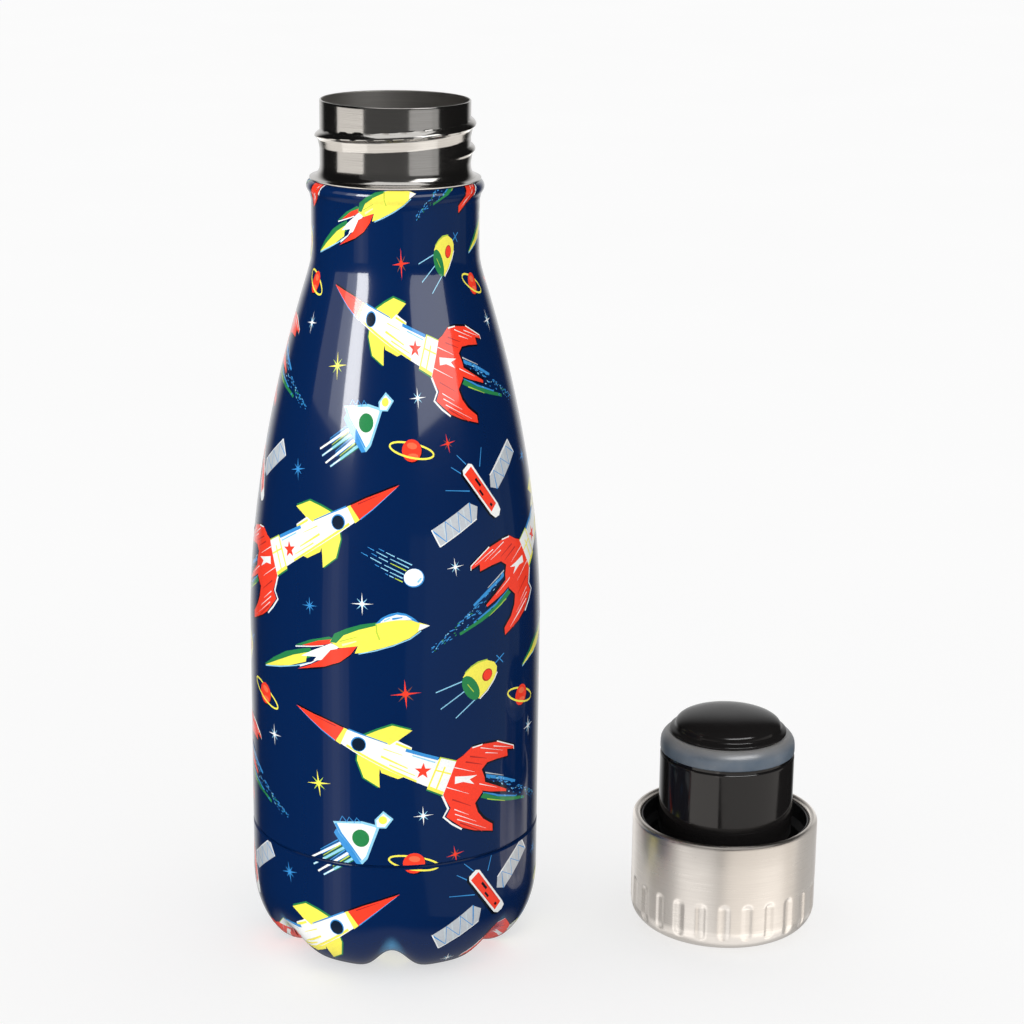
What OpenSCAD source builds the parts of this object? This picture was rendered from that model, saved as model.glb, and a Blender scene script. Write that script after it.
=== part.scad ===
// Double-wall steel water bottle with its screw cap standing upside down beside it.
// Millimetres. Z is up, the bottle and the cap stand on z = 0, and x runs from bottle to cap.

/* [Bottle] */
// Radius of the straight part of the body
body_r = 32.5; // [28:0.1:40]
// Height where the straight wall starts to lean in
shoulder_z = 75; // [60:1:100]
// How far the shoulder has come in at shoulder_top_z
shoulder_drop = 12.5; // [8:0.1:18]
// Height at which shoulder_drop is reached
shoulder_top_z = 150.4; // [130:0.1:160]
// How quickly the shoulder curves in
shoulder_power = 1.85; // [1.4:0.01:2.6]
// Radius of the painted neck
neck_r = 18.15; // [16:0.05:22]
// Thickness of the outer shell
shell_wall = 0.55; // [0.4:0.05:1.2]
// Height of the seam between base cup and shell
seam_z = 27.66; // [20:0.02:40]
// Height of the seam's groove
seam_gap = 0.4; // [0.2:0.05:1]
// Height of the middle of the painted bead
bead_z = 172.4; // [165:0.1:180]
// Round of the bead
bead_round = 1.55; // [1:0.05:2.2]

/* [Base] */
// Height where the wall starts to round into the base
corner_z = 16; // [12:0.5:22]
// Radius of the circle the lobes stand on
foot_r = 20.2; // [18:0.1:26]
// How far the lobes are cut off to stand flat
foot_flat = 0.45; // [0.1:0.05:1]
// Radius where a valley levels out
valley_r = 24; // [20:0.1:28]
// Height of a valley's floor
valley_z = 5.1; // [3:0.1:9]
// Number of lobes under the bottle
lobes = 7; // [3:1:9]
// Direction of the front valley
valley_turn = -93; // [-120:1:-60]
// Thickness of the base cup
base_wall = 0.6; // [0.5:0.05:1.2]
// Height of the flat middle of the base
base_middle_z = 6; // [4:0.1:9]
// Radius of the hole in the middle of the base
base_hole_r = 7; // [5:0.1:9]
// How narrow the valleys between lobes are
valley_power = 3; // [1:0.1:4]

/* [Neck] */
// Radius of the mouth's bore
bore_r = 15.73; // [14:0.01:18]
// Outer radius of the bare steel neck
steel_neck_r = 16.2; // [15:0.01:19]
// Height of the mouth
mouth_z = 190.72; // [180:0.01:200]
// Height of the lower edge of the steel flare
flare_z = 174.0; // [170:0.1:180]
// Radius of the steel flare
flare_r = 18.45; // [17:0.05:20]
// Length of the straight bore
bore_length = 41.2; // [30:0.1:50]

/* [Thread] */
// Height gained in one turn
pitch = 5.5; // [3:0.1:8]
// Radius of the thread's crest on the neck
crest_r = 17.3; // [16.5:0.05:19]
// Half the width of the thread at its root
ridge_half = 1.35; // [0.8:0.05:1.8]
// Turns of thread on the neck
turns = 1.6; // [1:0.05:2]
// Where the thread starts, in degrees from +x
thread_start = -50; // [-180:1:180]
// Height of the thread at +x on its first pass
thread_z = 180.05; // [176:0.05:184]

/* [Flask] */
// Gap from the outer face of the shell to the outer face of the flask
flask_gap = 3.5; // [2.5:0.1:5]
// Thickness of the flask
flask_wall = 0.5; // [0.4:0.05:1]
// Height of the flask's lowest point
flask_z = 13; // [11:0.1:18]
// Height of the weld between flask and flask base
flask_seam_z = 34; // [28:0.5:45]
// Round of the flask's bottom edge
flask_round = 10; // [6:0.5:14]

/* [Cap] */
// Distance from the bottle's axis to the cap's axis
cap_apart = 76.4; // [60:0.1:110]
// Outer radius of the cap
cap_r = 21.35; // [20:0.05:24]
// Height of the cap's rim when it stands upside down
cap_rim_z = 26.4; // [22:0.1:32]
// Round between the cap's top and its side
cap_edge = 5.5; // [3:0.1:8]
// Thickness of the cap shell
cap_wall = 0.7; // [0.5:0.05:1]
// Number of pressed flutes
flutes = 25; // [12:1:40]
// Depth of a flute
flute_depth = 0.32; // [0.1:0.02:0.4]
// Half the width of the tool that presses a flute
flute_r = 1.9; // [1:0.05:3]
// Radius of the plug
plug_r = 15.43; // [14:0.01:17]
// Height of the plug's shoulder under the seal
plug_top_z = 42.2; // [36:0.1:46]
// Height of the top of the seal
seal_top_z = 46.55; // [40:0.05:50]
// Radius of the black step over the seal
step_r = 13.4; // [12:0.05:15]
// Radius of the dome
dome_r = 11.7; // [9:0.05:13]
// Height of the dome's highest point
dome_z = 52.3; // [50:0.1:56]

/* [Hidden] */
$fn = 96;
bottle_x = -(cap_apart + cap_r - body_r) / 2;
cap_x = bottle_x + cap_apart;
lip_r = 18.9;
well_r = crest_r + 0.35;
inner_crest_r = steel_neck_r + 0.33;
floor_z = 10.2;
closed_z = 201.3;
plate_r = 10;
cavity_r = 9.9;
spigot_r = 12.1;

// ---- shared curves ----

// a soft choice of the larger of two radii
function soft_max(a, b, w) = b + w * ln(1 + exp((a - b) / w));
function lean(z) = z <= shoulder_z ? body_r
    : body_r - shoulder_drop * pow((z - shoulder_z) / (shoulder_top_z - shoulder_z), shoulder_power);
function shell_r(z) = z <= shoulder_z ? body_r : min(body_r, soft_max(lean(z), neck_r, 0.35));
function flask_r(z) = soft_max(shell_r(z) - flask_gap, steel_neck_r, 0.3);
function steps(a, b, n) = [for (i = [0:n]) a + (b - a) * i / n];
function arc(x, y, r, a, b, n) = [for (t = steps(a, b, n)) [x + r * cos(t), y + r * sin(t)]];
function back(list) = [for (i = [len(list) - 1:-1:0]) list[i]];

module at_bottle() translate([bottle_x, 0, 0]) children();
module at_cap() translate([cap_x, 0, 0]) children();
module lathe(points) rotate_extrude() polygon(points);

// ---- thread: a round ridge carried up a helix, fading out at both ends ----

function fade(t, n) = min(1, sin(90 * min(1, 7 * t / n)), sin(90 * min(1, 7 * (n - t) / n)));
// out = 1 for a thread that stands outwards, -1 for one that stands inwards
function ridge_at(root, crest, half, a, z, f, out, k) =
    let (foot = root - out * 0.1, deep = root - out * 0.3)
    [for (j = [0:k]) let (s = -1 + 2 * j / k,
        r = foot + (crest - foot) * f * pow(cos(90 * s), 0.8), w = half * (0.45 + 0.55 * f))
        [r * cos(a), r * sin(a), z + s * w],
     [deep * cos(a), deep * sin(a), z + 0.45 * half],
     [deep * cos(a), deep * sin(a), z - 0.45 * half]];
module ridge(root, crest, half, start, count, z0, out) {
    k = 8;
    n = round(count * 40);
    m = k + 3;
    points = [for (i = [0:n]) let (a = start + 360 * count * i / n)
        each ridge_at(root, crest, half, a, z0 + pitch * a / 360, max(0.02, fade(i, n)), out, k)];
    sides = [for (i = [0:n - 1]) for (j = [0:m - 1]) let (a = i * m + j, b = i * m + (j + 1) % m)
        each [[a, b, b + m], [a, b + m, a + m]]];
    ends = [[for (j = [m - 1:-1:0]) j], [for (j = [0:m - 1]) n * m + j]];
    faces = concat(sides, ends);
    polyhedron(points, out > 0 ? faces : [for (f = faces) [for (i = [len(f) - 1:-1:0]) f[i]]]);
}

// ---- bottle ----

bead_a0 = -70;
shell_outside = concat(
    [[body_r - 0.35, seam_z + seam_gap], [body_r, seam_z + seam_gap + 0.35]],
    [for (z = steps(shoulder_z, bead_z - 3.6, 36)) [shell_r(z), z]],
    [for (t = steps(0, 1, 6)) [neck_r + 0.5 * t * t * (3 - 2 * t) * 0.55, bead_z - 3.2 + 1.6 * t]],
    arc(neck_r - 0.55, bead_z, bead_round, -32, 68, 10));
shell_inside = concat(
    [[steel_neck_r + 0.1, flare_z - 0.1], [steel_neck_r + 0.1, flare_z - 0.65],
     [neck_r - shell_wall + 0.25, flare_z - 0.95], [neck_r - shell_wall, flare_z - 2.2]],
    [for (z = back(steps(shoulder_z, bead_z - 3.6, 36))) [shell_r(z) - shell_wall, z]],
    [[body_r - shell_wall, seam_z + seam_gap]]);

module outer_shell() color("#1b2f63") at_bottle() lathe(concat(shell_outside, shell_inside));

// one point of the base cup's section: u runs 0-1 down the wall, 1-2 round the corner, 2-3 to the
// flat middle, 3-4 to the hole; in_r and low are where the corner ends, w is the offset inwards
function section(u, in_r, low, w, top) =
    u <= 1 ? [body_r - w, top + (corner_z - top) * u]
    : u <= 2 ? let (t = 90 * (u - 1))
        [in_r + (body_r - w - in_r) * pow(cos(t), 0.92),
         corner_z - (corner_z - low - w) * pow(sin(t), 0.96)]
    : u <= 3 ? let (s = u - 2)
        [in_r + (11 - in_r) * s, low + w * 1.1 + (base_middle_z - low - 0.1 * w) * (1 - cos(180 * s)) / 2]
    : [11 + (base_hole_r - 11) * (u - 3), base_middle_z + w];
function lobed(u, a, w, top) =
    let (m = pow((1 + cos(lobes * (a - valley_turn))) / 2, valley_power),
         p = section(u, foot_r, -foot_flat, w, top) * (1 - m) + section(u, valley_r, valley_z, w, top) * m)
    [p[0] * cos(a), p[0] * sin(a), max(w, p[1])];
module base_cup_skin() {
    n = lobes * 12;
    us = concat([0, 0.5], steps(1, 2, 9), steps(2.15, 3, 6), [4]);
    sleeve_r = body_r - shell_wall - 0.05;
    plain = [[sleeve_r - base_wall, seam_z - 2], [sleeve_r - base_wall, seam_z + 4.6],
        [sleeve_r, seam_z + 4.6], [sleeve_r, seam_z], [body_r - 0.35, seam_z]];
    rings = concat(
        [for (u = back(us)) [for (i = [0:n - 1]) lobed(u, 360 * i / n, base_wall, seam_z - 3)]],
        [for (p = plain) [for (i = [0:n - 1])
            [p[0] * cos(360 * i / n), p[0] * sin(360 * i / n), p[1]]]],
        [for (u = us) [for (i = [0:n - 1]) lobed(u, 360 * i / n, 0, seam_z - 0.35)]]);
    m = len(rings);
    faces = [for (j = [0:m - 1]) for (i = [0:n - 1])
        let (i2 = (i + 1) % n, j2 = (j + 1) % m, a = j * n + i, b = j * n + i2, c = j2 * n + i, d = j2 * n + i2)
        each [[a, c, d], [a, d, b]]];
    polyhedron([for (r = rings) each r], faces);
}
module base_cup() color("#1b2f63") at_bottle() base_cup_skin();

neck_section = concat(
    [[bore_r, mouth_z - bore_length], [bore_r, mouth_z - 0.24]],
    arc((bore_r + steel_neck_r) / 2 - 0.002, mouth_z - 0.24, (steel_neck_r - bore_r) / 2, 165, 15, 8),
    [[steel_neck_r, mouth_z - 0.26], [steel_neck_r, flare_z + 2.6]],
    [for (t = steps(80, 10, 6)) [flare_r - 0.05 - (flare_r - steel_neck_r - 0.05) * sin(t) * 0.97,
        flare_z + 2.55 - 2.2 * cos(t)]],
    [[flare_r, flare_z + 0.25], [flare_r, flare_z], [steel_neck_r, flare_z],
     [steel_neck_r, mouth_z - bore_length]]);
module threaded_neck() color("#c9c6c2") at_bottle() {
    lathe(neck_section);
    ridge(steel_neck_r, crest_r, ridge_half, thread_start, turns, thread_z, 1);
}

flask_top = mouth_z - bore_length - 0.02;
flask_outside = [for (z = steps(flask_seam_z + 0.02, flask_top, 34)) [flask_r(z), z]];
flask_inside = [for (z = back(steps(flask_seam_z + 0.02, flask_top, 34))) [flask_r(z) - flask_wall, z]];
module inner_flask() color("#bdbab6") at_bottle() lathe(concat(flask_outside, flask_inside));

base_r = body_r - flask_gap;
module inner_flask_base() color("#bdbab6") at_bottle() lathe(concat(
    [[0, flask_z + 2], [6, flask_z + 1.6], [base_r - flask_round - 2, flask_z]],
    arc(base_r - flask_round, flask_z + flask_round, flask_round, -88, 0, 12),
    [[base_r, flask_seam_z], [base_r - flask_wall, flask_seam_z]],
    arc(base_r - flask_round, flask_z + flask_round, flask_round - flask_wall, 0, -88, 12),
    [[base_r - flask_round - 2, flask_z + flask_wall], [6, flask_z + 1.6 + flask_wall],
     [0, flask_z + 2 + flask_wall]]));

foil_low = flask_seam_z + 4;
foil_high = 142;
module reflective_foil() color("#c98a5a") at_bottle() lathe(concat(
    [for (z = steps(foil_low, foil_high, 26)) [flask_r(z) + 0.3, z]],
    [for (z = back(steps(foil_low, foil_high, 26))) [flask_r(z) + 0.1, z]]));

getter_x = 12;
getter_r = 3.5;
getter_z = flask_z - 2.3;
module getter() color("#5a5a60") at_bottle()
    translate([getter_x, 0, getter_z - 0.4]) cylinder(r = getter_r, h = 1.9);
module getter_clip() color("#9a9890") at_bottle() translate([getter_x, 0, getter_z - 0.7]) {
    difference() {
        cylinder(r = getter_r + 0.55, h = 2.6);
        translate([0, 0, 0.28]) cylinder(r = getter_r + 0.05, h = 4);
        translate([0, 0, -1]) cylinder(r = getter_r - 1, h = 4);
    }
    for (a = [0:120:240]) rotate(a) translate([getter_r + 0.2, -1, 2.2]) cube([2.4, 2, 0.4]);
}

module vacuum_plate() color("#b5b2ae") at_bottle() translate([0, 0, base_middle_z - 0.82]) difference() {
    union() {
        cylinder(r = plate_r, h = 0.8);
        cylinder(r = base_hole_r - 0.1, h = 1.3);
    }
    translate([0, 0, -1]) cylinder(r = 1.6, h = 4);
    translate([0, 0, -0.45]) cylinder(r = 4, h = 0.8);
}
module vacuum_seal() color("#55606a") at_bottle() translate([0, 0, base_middle_z - 0.3]) lathe(
    [[0, 0], [1.3, 0], [1.55, 0.2], [1.55, 0.8], [2.9, 0.8], [2.7, 1.2], [1.8, 1.55], [0, 1.7]]);

// ---- cap, drawn upside down on the table ----

rim_round = 0.95;
module cap_shell() color("#cfc8bd") at_cap() difference() {
    lathe(concat(
        [[0, 0]], arc(cap_r - cap_edge, cap_edge, cap_edge, -90, 0, 12),
        arc(cap_r - rim_round, cap_rim_z - rim_round, rim_round, 0, 180, 14),
        [[cap_r - 2 * rim_round, cap_rim_z - rim_round - 0.9],
         [cap_r - cap_wall, cap_rim_z - rim_round - 1.5]],
        arc(cap_r - cap_edge, cap_edge, cap_edge - cap_wall, 0, -90, 12), [[0, cap_wall]]));
    for (i = [0:flutes - 1])
    rotate(360 * (i + 0.5) / flutes - 90) translate([cap_r + flute_r - flute_depth, 0, 5]) {
        cylinder(r = flute_r, h = 6.2, $fn = 24);
        translate([0, 0, 6.2]) sphere(r = flute_r, $fn = 24);
        sphere(r = flute_r, $fn = 24);
    }
}

liner_r = cap_r - cap_wall - 0.05;
module cap_liner() color("#18181a") at_cap() {
    lathe([[spigot_r + 0.45, floor_z - 1.8], [spigot_r + 0.45, cap_wall + 0.05],
        [spigot_r + 1.8, cap_wall + 0.05],
        [spigot_r + 1.8, floor_z - 3.2], [liner_r - 1.6, floor_z - 3.2], [liner_r, floor_z - 2.6],
        [liner_r, cap_rim_z - rim_round - 1.6], [cap_r - 2 * rim_round - 0.05, cap_rim_z - rim_round - 0.95],
        [cap_r - 2 * rim_round - 0.05, cap_rim_z - 1.05], [cap_r - 2 * rim_round - 0.3, cap_rim_z - 0.8],
        [lip_r, cap_rim_z - 0.8], [lip_r, cap_rim_z - 4.4], [well_r, cap_rim_z - 5.8], [well_r, floor_z],
        [spigot_r + 0.45, floor_z]]);
    ridge(well_r, inner_crest_r, 0.85, -170, 1.17, closed_z - thread_z - pitch, -1);
}

module plug_body() color("#1c1b1b") at_cap() lathe(
    [[spigot_r + 0.05, floor_z - 4.4], [spigot_r + 0.4, floor_z - 4.4], [spigot_r + 0.4, floor_z + 0.02],
     [plug_r + 0.5, floor_z + 0.02], [plug_r, floor_z + 0.6], [plug_r, plug_top_z - 1.1],
     [plug_r - 0.3, plug_top_z - 0.75],
     [plug_r - 0.55, plug_top_z - 0.7], [plug_r - 0.55, plug_top_z], [spigot_r + 0.05, plug_top_z]]);

module plug_dome() color("#141314") at_cap() lathe(concat(
    [[cavity_r, plug_top_z - 14], [spigot_r, plug_top_z - 14], [spigot_r, seal_top_z + 0.05],
     [step_r - 0.3, seal_top_z + 0.05], [step_r, seal_top_z + 0.3], [step_r, seal_top_z + 0.75],
     [step_r - 0.35, seal_top_z + 1.1], [dome_r + 0.2, seal_top_z + 1.2], [dome_r, seal_top_z + 1.45]],
    [for (t = steps(8, 90, 12))
        [dome_r * cos(t), seal_top_z + 1.6 + (dome_z - seal_top_z - 1.6) * pow(sin(t), 0.8)]],
    [[0, dome_z - 2.4], [cavity_r - 1, dome_z - 2.4], [cavity_r, dome_z - 3.4]]));

module seal_ring() color("#8fa3b5") at_cap() lathe(
    [[spigot_r + 0.1, plug_top_z + 0.05], [plug_r - 0.25, plug_top_z + 0.05], [plug_r, plug_top_z + 0.3],
     [plug_r, plug_top_z + 2.2], [plug_r - 0.25, plug_top_z + 3], [plug_r - 0.9, seal_top_z - 0.45],
     [plug_r - 1.5, seal_top_z - 0.05], [plug_r - 1.8, seal_top_z], [spigot_r + 0.1, seal_top_z]]);

disc_top_z = dome_z - 2.8;
module foam_disc() color("#e8e4da") at_cap() translate([0, 0, disc_top_z - 1.6]) cylinder(r = 8.4, h = 1.6);

outer_shell();
base_cup();
threaded_neck();
inner_flask();
inner_flask_base();
reflective_foil();
getter();
getter_clip();
vacuum_plate();
vacuum_seal();
cap_shell();
cap_liner();
plug_body();
plug_dome();
seal_ring();
foam_disc();
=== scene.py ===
import bisect
import math
import random

import bmesh
import bpy
from mathutils import Matrix, Vector
from mathutils.geometry import delaunay_2d_cdt


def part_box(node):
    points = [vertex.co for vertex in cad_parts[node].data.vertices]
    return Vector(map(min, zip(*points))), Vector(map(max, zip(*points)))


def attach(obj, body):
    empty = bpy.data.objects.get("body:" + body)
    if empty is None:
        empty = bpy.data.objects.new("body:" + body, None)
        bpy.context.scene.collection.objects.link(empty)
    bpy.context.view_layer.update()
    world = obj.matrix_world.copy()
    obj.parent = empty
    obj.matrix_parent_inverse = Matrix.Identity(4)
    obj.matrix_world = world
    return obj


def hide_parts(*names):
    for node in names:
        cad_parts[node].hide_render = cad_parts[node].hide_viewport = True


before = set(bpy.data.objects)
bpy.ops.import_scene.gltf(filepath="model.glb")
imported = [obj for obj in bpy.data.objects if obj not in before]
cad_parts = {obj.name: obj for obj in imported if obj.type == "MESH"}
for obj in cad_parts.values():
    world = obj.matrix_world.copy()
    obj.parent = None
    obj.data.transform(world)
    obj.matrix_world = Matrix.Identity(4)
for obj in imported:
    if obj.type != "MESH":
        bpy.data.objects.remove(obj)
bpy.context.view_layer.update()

MM = 0.001  # shapes are worked out in millimetres and stored in metres
scene = bpy.context.scene

# ---- where the CAD put things ----


def middle_and_radius(node):
    low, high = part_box(node)
    return (low[0] + high[0]) / 2 / MM, (high[0] - low[0]) / 2 / MM


def height_of(node, end):
    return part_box(node)[end][2] / MM


bottle_x, body_r = middle_and_radius("outer_shell")
cap_x, cap_r = middle_and_radius("cap_shell")
mouth_z = height_of("threaded_neck", 1)
seam_low, seam_high = 27.66, height_of("outer_shell", 0)

# ---- camera ----


def put_in_scene(name, data):
    made = bpy.data.objects.new(name, data)
    scene.collection.objects.link(made)
    return made


camera_data = bpy.data.cameras.new("camera")
camera = put_in_scene("camera", camera_data)
camera_data.lens, camera_data.sensor_width = 91.4, 36
camera_data.clip_start, camera_data.clip_end = 0.02, 20
camera_place = Vector((bottle_x - 12.74, -556.7, 257.8)) * MM
camera_aim = Vector((bottle_x + 25.98, 0, 99.1)) * MM
camera_lean = 0.0125  # radians clockwise
forward = (camera_aim - camera_place).normalized()
right = forward.cross(Vector((0, 0, 1))).normalized()
up = right.cross(forward)
right, up = (right * math.cos(camera_lean) + up * math.sin(camera_lean),
             up * math.cos(camera_lean) - right * math.sin(camera_lean))
turn = Matrix((right, up, -forward)).transposed().to_4x4()
camera.matrix_world = Matrix.Translation(camera_place) @ turn
scene.camera = camera
bpy.context.view_layer.update()

# ---- shader groups shared by the finishes ----


def new_group(name, numbers, results):
    """A node group that takes a place and some numbers, and gives numbers back."""
    group = bpy.data.node_groups.new(name, "ShaderNodeTree")
    group.interface.new_socket("Place", in_out="INPUT", socket_type="NodeSocketVector")
    for labels, way in ((numbers, "INPUT"), (results, "OUTPUT")):
        for label in labels:
            group.interface.new_socket(label, in_out=way, socket_type="NodeSocketFloat")
    return group, group.nodes.new("NodeGroupInput").outputs, group.nodes.new("NodeGroupOutput").inputs


def add(tree, kind, settings=(), inputs=(), **values):
    """A new node. Its inputs go by number or by label, and take a value or the socket that feeds them."""
    made = tree.nodes.new(kind)
    for key, value in dict(settings).items():
        setattr(made, key, value)
    for key, value in {**dict(inputs), **values}.items():
        socket = made.inputs[key.replace("_", " ") if isinstance(key, str) else key]
        if isinstance(value, bpy.types.NodeSocket):
            tree.links.new(value, socket)
        else:
            socket.default_value = (*value, 1) if socket.type == "RGBA" and len(value) == 3 else value
    return made


# cloudy tone at one size, for uneven colour and shine
mottle, given, result = new_group("mottle", ("Size per metre", "Detail"), ("Tone",))
noise = add(mottle, "ShaderNodeTexNoise", Vector=given["Place"], Scale=given["Size per metre"],
            Detail=given["Detail"])
mottle.links.new(noise.outputs["Fac"], result["Tone"])

# fine lines left by a tool that went round a part
turned_lines, given, result = new_group("turned_lines", ("Lines per metre", "Breaks per metre"),
                                        ("Height", "Tone"))
stretch = add(turned_lines, "ShaderNodeCombineXYZ", X=given["Breaks per metre"], Y=given["Breaks per metre"],
              Z=given["Lines per metre"])
spread = add(turned_lines, "ShaderNodeVectorMath", {"operation": "MULTIPLY"},
             {0: given["Place"], 1: stretch.outputs["Vector"]})
lines = add(turned_lines, "ShaderNodeTexNoise", Vector=spread.outputs["Vector"], Scale=1, Detail=6,
            Roughness=0.65)
steep = add(turned_lines, "ShaderNodeMapRange", Value=lines.outputs["Fac"], From_Min=0.35, From_Max=0.65)
turned_lines.links.new(lines.outputs["Fac"], result["Height"])
turned_lines.links.new(steep.outputs["Result"], result["Tone"])

# small pits and specks of dust
specks, given, result = new_group("specks", ("Specks per metre", "Share"), ("Mask",))
cells = add(specks, "ShaderNodeTexVoronoi", Vector=given["Place"], Scale=given["Specks per metre"])
cut = add(specks, "ShaderNodeMapRange", Value=cells.outputs["Distance"], From_Min=0, From_Max=given["Share"],
          To_Min=1, To_Max=0)
specks.links.new(cut.outputs["Result"], result["Mask"])


class Finish:
    """A material with one Principled shader, and ways to wire detail into it."""

    def __init__(self, name, colour, **values):
        self.material = bpy.data.materials.new(name)
        self.material.use_nodes = True
        self.tree = self.material.node_tree
        self.shader = self.tree.nodes["Principled BSDF"]
        self.shader.inputs["Base Color"].default_value = (*colour, 1)
        self.material.diffuse_color = (*colour, 1)
        for key, value in values.items():
            self.shader.inputs[key.replace("_", " ")].default_value = value
        self.place = add(self.tree, "ShaderNodeTexCoord").outputs["Object"]

    def group(self, tree, **values):
        return add(self.tree, "ShaderNodeGroup", {"node_tree": tree}, Place=self.place, **values)

    def range(self, source, low, high, low_in=0, high_in=1):
        return add(self.tree, "ShaderNodeMapRange", Value=source, From_Min=low_in, From_Max=high_in,
                   To_Min=low,
                   To_Max=high).outputs["Result"]

    def mix(self, factor, first, second, blend="MIX"):
        return add(self.tree, "ShaderNodeMix", {"data_type": "RGBA", "blend_type": blend},
                   {0: factor, 6: first, 7: second}).outputs[2]

    def feed(self, source, socket):
        self.tree.links.new(source, self.shader.inputs[socket])

    def bump(self, height, strength, depth_mm):
        made = add(self.tree, "ShaderNodeBump", Strength=strength, Distance=depth_mm * MM, Height=height)
        self.feed(made.outputs["Normal"], "Normal")


def steel(name, light, dark, rough, lines_per_metre, breaks, depth_mm, spread_of_rough=0.08):
    made = Finish(name, light, Metallic=1, Roughness=rough)
    fine = made.group(turned_lines, Lines_per_metre=lines_per_metre, Breaks_per_metre=breaks)
    cloud = made.group(mottle, Size_per_metre=70, Detail=3)
    tone = made.mix(fine.outputs["Tone"], dark, light)
    made.feed(made.mix(made.range(cloud.outputs["Tone"], 0, 0.35), tone, dark), "Base Color")
    made.feed(made.range(fine.outputs["Tone"], rough + spread_of_rough, rough - spread_of_rough), "Roughness")
    made.bump(fine.outputs["Height"], 0.5, depth_mm)
    return made


def moulding(name, colour, worn, rough, grain, depth_mm, **values):
    made = Finish(name, colour, Roughness=rough, **values)
    cloud = made.group(mottle, Size_per_metre=grain, Detail=6)
    dust = made.group(specks, Specks_per_metre=420, Share=0.1)
    made.feed(made.mix(made.range(dust.outputs["Mask"], 0, 0.5), colour, worn), "Base Color")
    made.feed(made.range(cloud.outputs["Tone"], rough * 0.75, rough * 1.3, 0.3, 0.7), "Roughness")
    made.bump(cloud.outputs["Tone"], 0.25, depth_mm)
    return made


neck_steel = steel("bright_turned_steel", (0.66, 0.64, 0.61), (0.56, 0.54, 0.515), 0.13, 6500, 90, 0.0006,
                   0.03)

# the bore of the neck was never polished, so it is dull inside the polished wall
bore_r, steel_r, bore_rough = 15.73, 16.2, 0.55
from_axis = add(neck_steel.tree, "ShaderNodeVectorMath", {"operation": "MULTIPLY_ADD"},
                {0: neck_steel.place, 1: (1, 1, 0), 2: (-bottle_x * MM, 0, 0)})
radius = add(neck_steel.tree, "ShaderNodeVectorMath", {"operation": "LENGTH"},
             {0: from_axis.outputs["Vector"]})
dull = neck_steel.range(radius.outputs["Value"], 1, 0, (bore_r + 0.07) * MM, (steel_r - 0.25) * MM)
polish = neck_steel.shader.inputs["Roughness"].links[0].from_socket
shine = add(neck_steel.tree, "ShaderNodeMix", {"data_type": "FLOAT"}, {0: dull, 2: polish, 3: bore_rough})
neck_steel.feed(shine.outputs[0], "Roughness")

flask_steel = steel("satin_flask_steel", (0.5, 0.485, 0.46), (0.34, 0.33, 0.31), 0.3, 700, 30, 0.01)
cap_steel = steel("brushed_cap_steel", (0.74, 0.69, 0.635), (0.67, 0.62, 0.57), 0.31, 6500, 90, 0.0035, 0.04)
plate_steel = steel("plain_sheet_steel", (0.56, 0.54, 0.51), (0.4, 0.39, 0.37), 0.34, 900, 200, 0.01)
foil = steel("copper_foil", (0.8, 0.46, 0.3), (0.62, 0.33, 0.2), 0.22, 500, 400, 0.03)
getter_metal = moulding("pressed_grey_pill", (0.12, 0.12, 0.13), (0.22, 0.22, 0.23), 0.7, 2500, 0.05,
                        Metallic=0.6)
solder = moulding("grey_solder_glass", (0.12, 0.15, 0.18), (0.2, 0.24, 0.27), 0.15, 800, 0.01,
                  Coat_Weight=0.6)
liner_black = moulding("satin_black_liner", (0.010, 0.010, 0.011), (0.03, 0.03, 0.03), 0.34, 1800, 0.015)
plug_black = moulding("gloss_black_plug", (0.006, 0.0055, 0.0055), (0.012, 0.012, 0.012), 0.1, 500, 0.004)
dome_black = moulding("gloss_black_dome", (0.006, 0.0055, 0.0055), (0.012, 0.012, 0.012), 0.16, 500, 0.004,
                      Specular_IOR_Level=0.22)
foam_white = moulding("white_foam", (0.78, 0.76, 0.7), (0.6, 0.58, 0.54), 0.8, 1600, 0.2)

silicone = Finish("cloudy_silicone", (0.1, 0.13, 0.17), Roughness=0.38, Subsurface_Weight=0.2,
                  Subsurface_Radius=(0.9, 1, 1.2), Subsurface_Scale=0.0015, Coat_Weight=0.25,
                  Coat_Roughness=0.25)
silicone_cloud = silicone.group(mottle, Size_per_metre=160, Detail=4)
silicone_dust = silicone.group(specks, Specks_per_metre=700, Share=0.14)
silicone_tone = silicone.mix(silicone.range(silicone_cloud.outputs["Tone"], 0, 1, 0.35, 0.65),
                             (0.05, 0.072, 0.1), (0.085, 0.105, 0.13))
silicone_height = add(silicone.tree, "ShaderNodeSeparateXYZ", (), {0: silicone.place})
silicone_top = silicone.range(silicone_height.outputs["Z"], 0, 0.85, 44.3 * MM, 46.4 * MM)
silicone_tone = silicone.mix(silicone_top, silicone_tone, (0.13, 0.125, 0.12))
silicone.feed(silicone.mix(silicone.range(silicone_dust.outputs["Mask"], 0, 0.5), silicone_tone,
                           (0.2, 0.21, 0.22)), "Base Color")
silicone.feed(silicone.range(silicone_cloud.outputs["Tone"], 0.3, 0.46), "Roughness")
silicone.bump(silicone_cloud.outputs["Tone"], 0.2, 0.03)

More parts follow.
